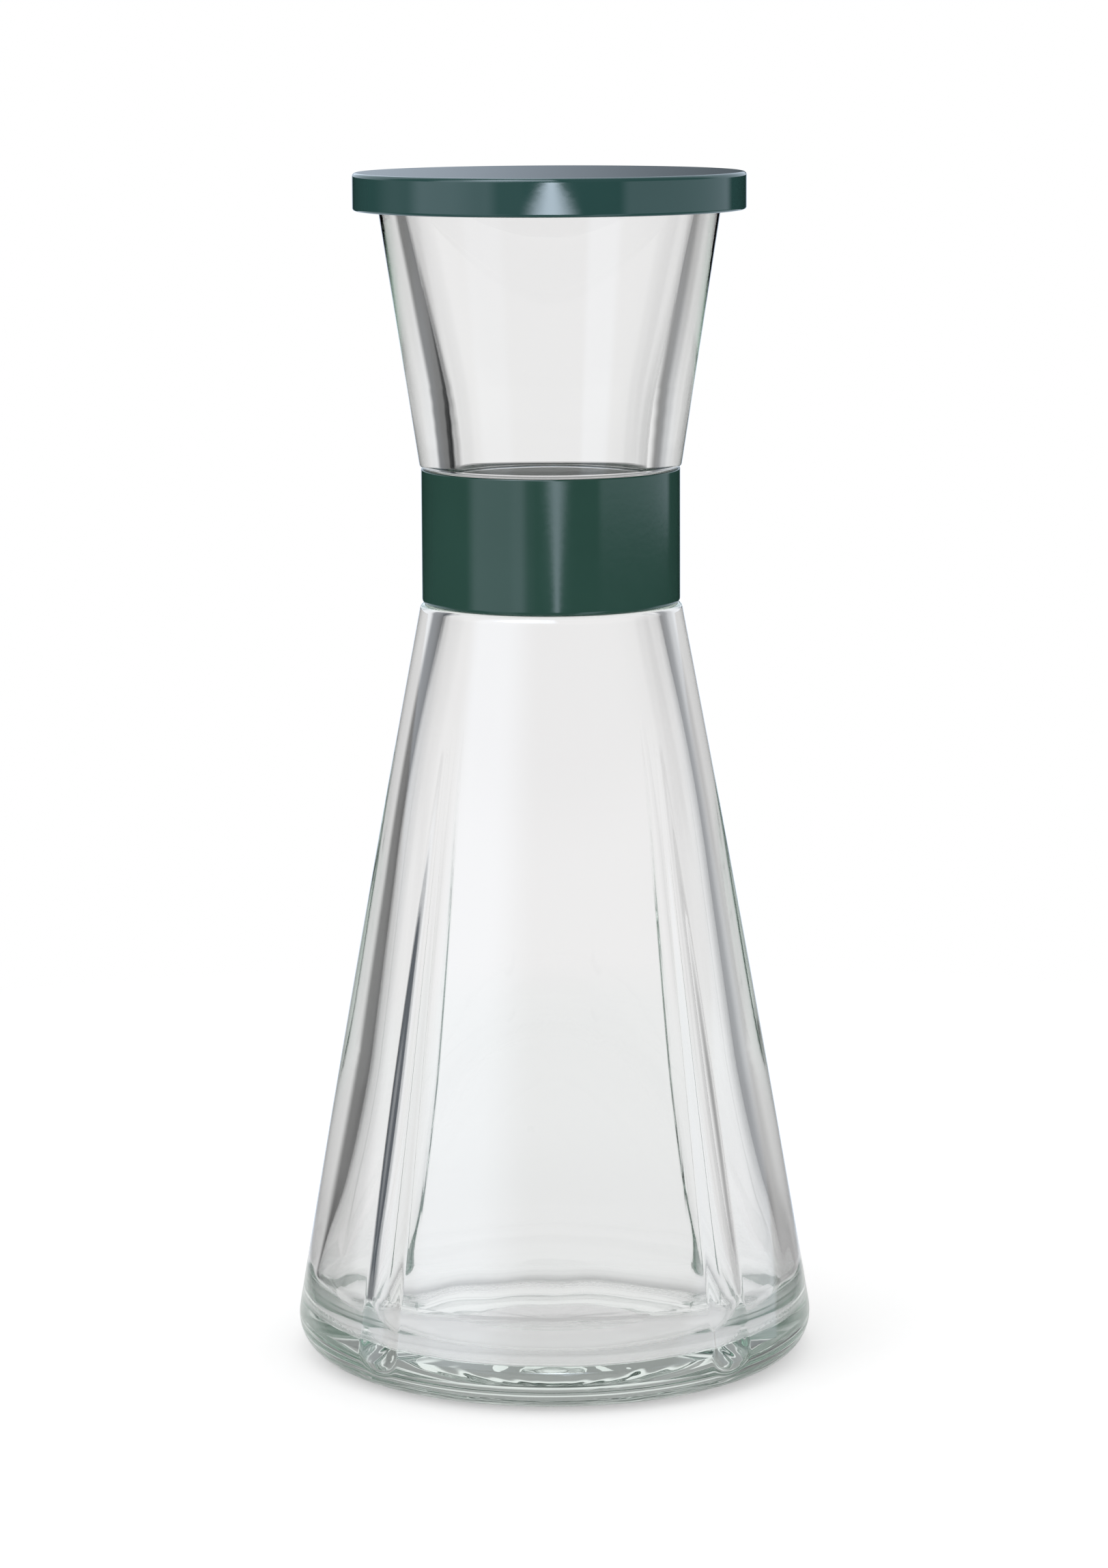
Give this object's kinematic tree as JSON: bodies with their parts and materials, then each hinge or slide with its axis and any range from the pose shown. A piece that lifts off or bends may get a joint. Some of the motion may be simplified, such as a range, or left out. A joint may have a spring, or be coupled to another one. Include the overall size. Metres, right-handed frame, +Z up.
{
  "type": "glass carafe with lid",
  "caption": "Waisted glass carafe with a flared neck, fluted conical body, elastic grip band round the waist and a flat press-in lid with a sealing ring.",
  "frame": {"origin": "centre of the base, on the surface that the carafe stands on", "axes": "+Z up along the carafe's axis; -Y is the front of the picture, midway between the front pair of flutes, and +Y is midway between the rear pair"},
  "size_m": [0.1126, 0.1126, 0.257],
  "materials": {
    "clear_glass": "fire-polished clear soda-lime glass, faintly green where it is thick",
    "band_rubber": "dark green silicone with a satin gloss",
    "lid_plastic": "dark green moulded plastic, polished",
    "seal_rubber": "milky translucent silicone"
  },
  "bodies": {
    "carafe": {"carafe_glass": "clear_glass", "grip_band": "band_rubber"},
    "lid": {"lid_cap": "lid_plastic", "lid_seal": "seal_rubber"}
  },
  "joints": [
    {"name": "lid_lift", "type": "slide", "parent": "carafe", "child": "lid", "axis": [0, 0, 1], "range_m": [0, 0.06]}
  ]
}
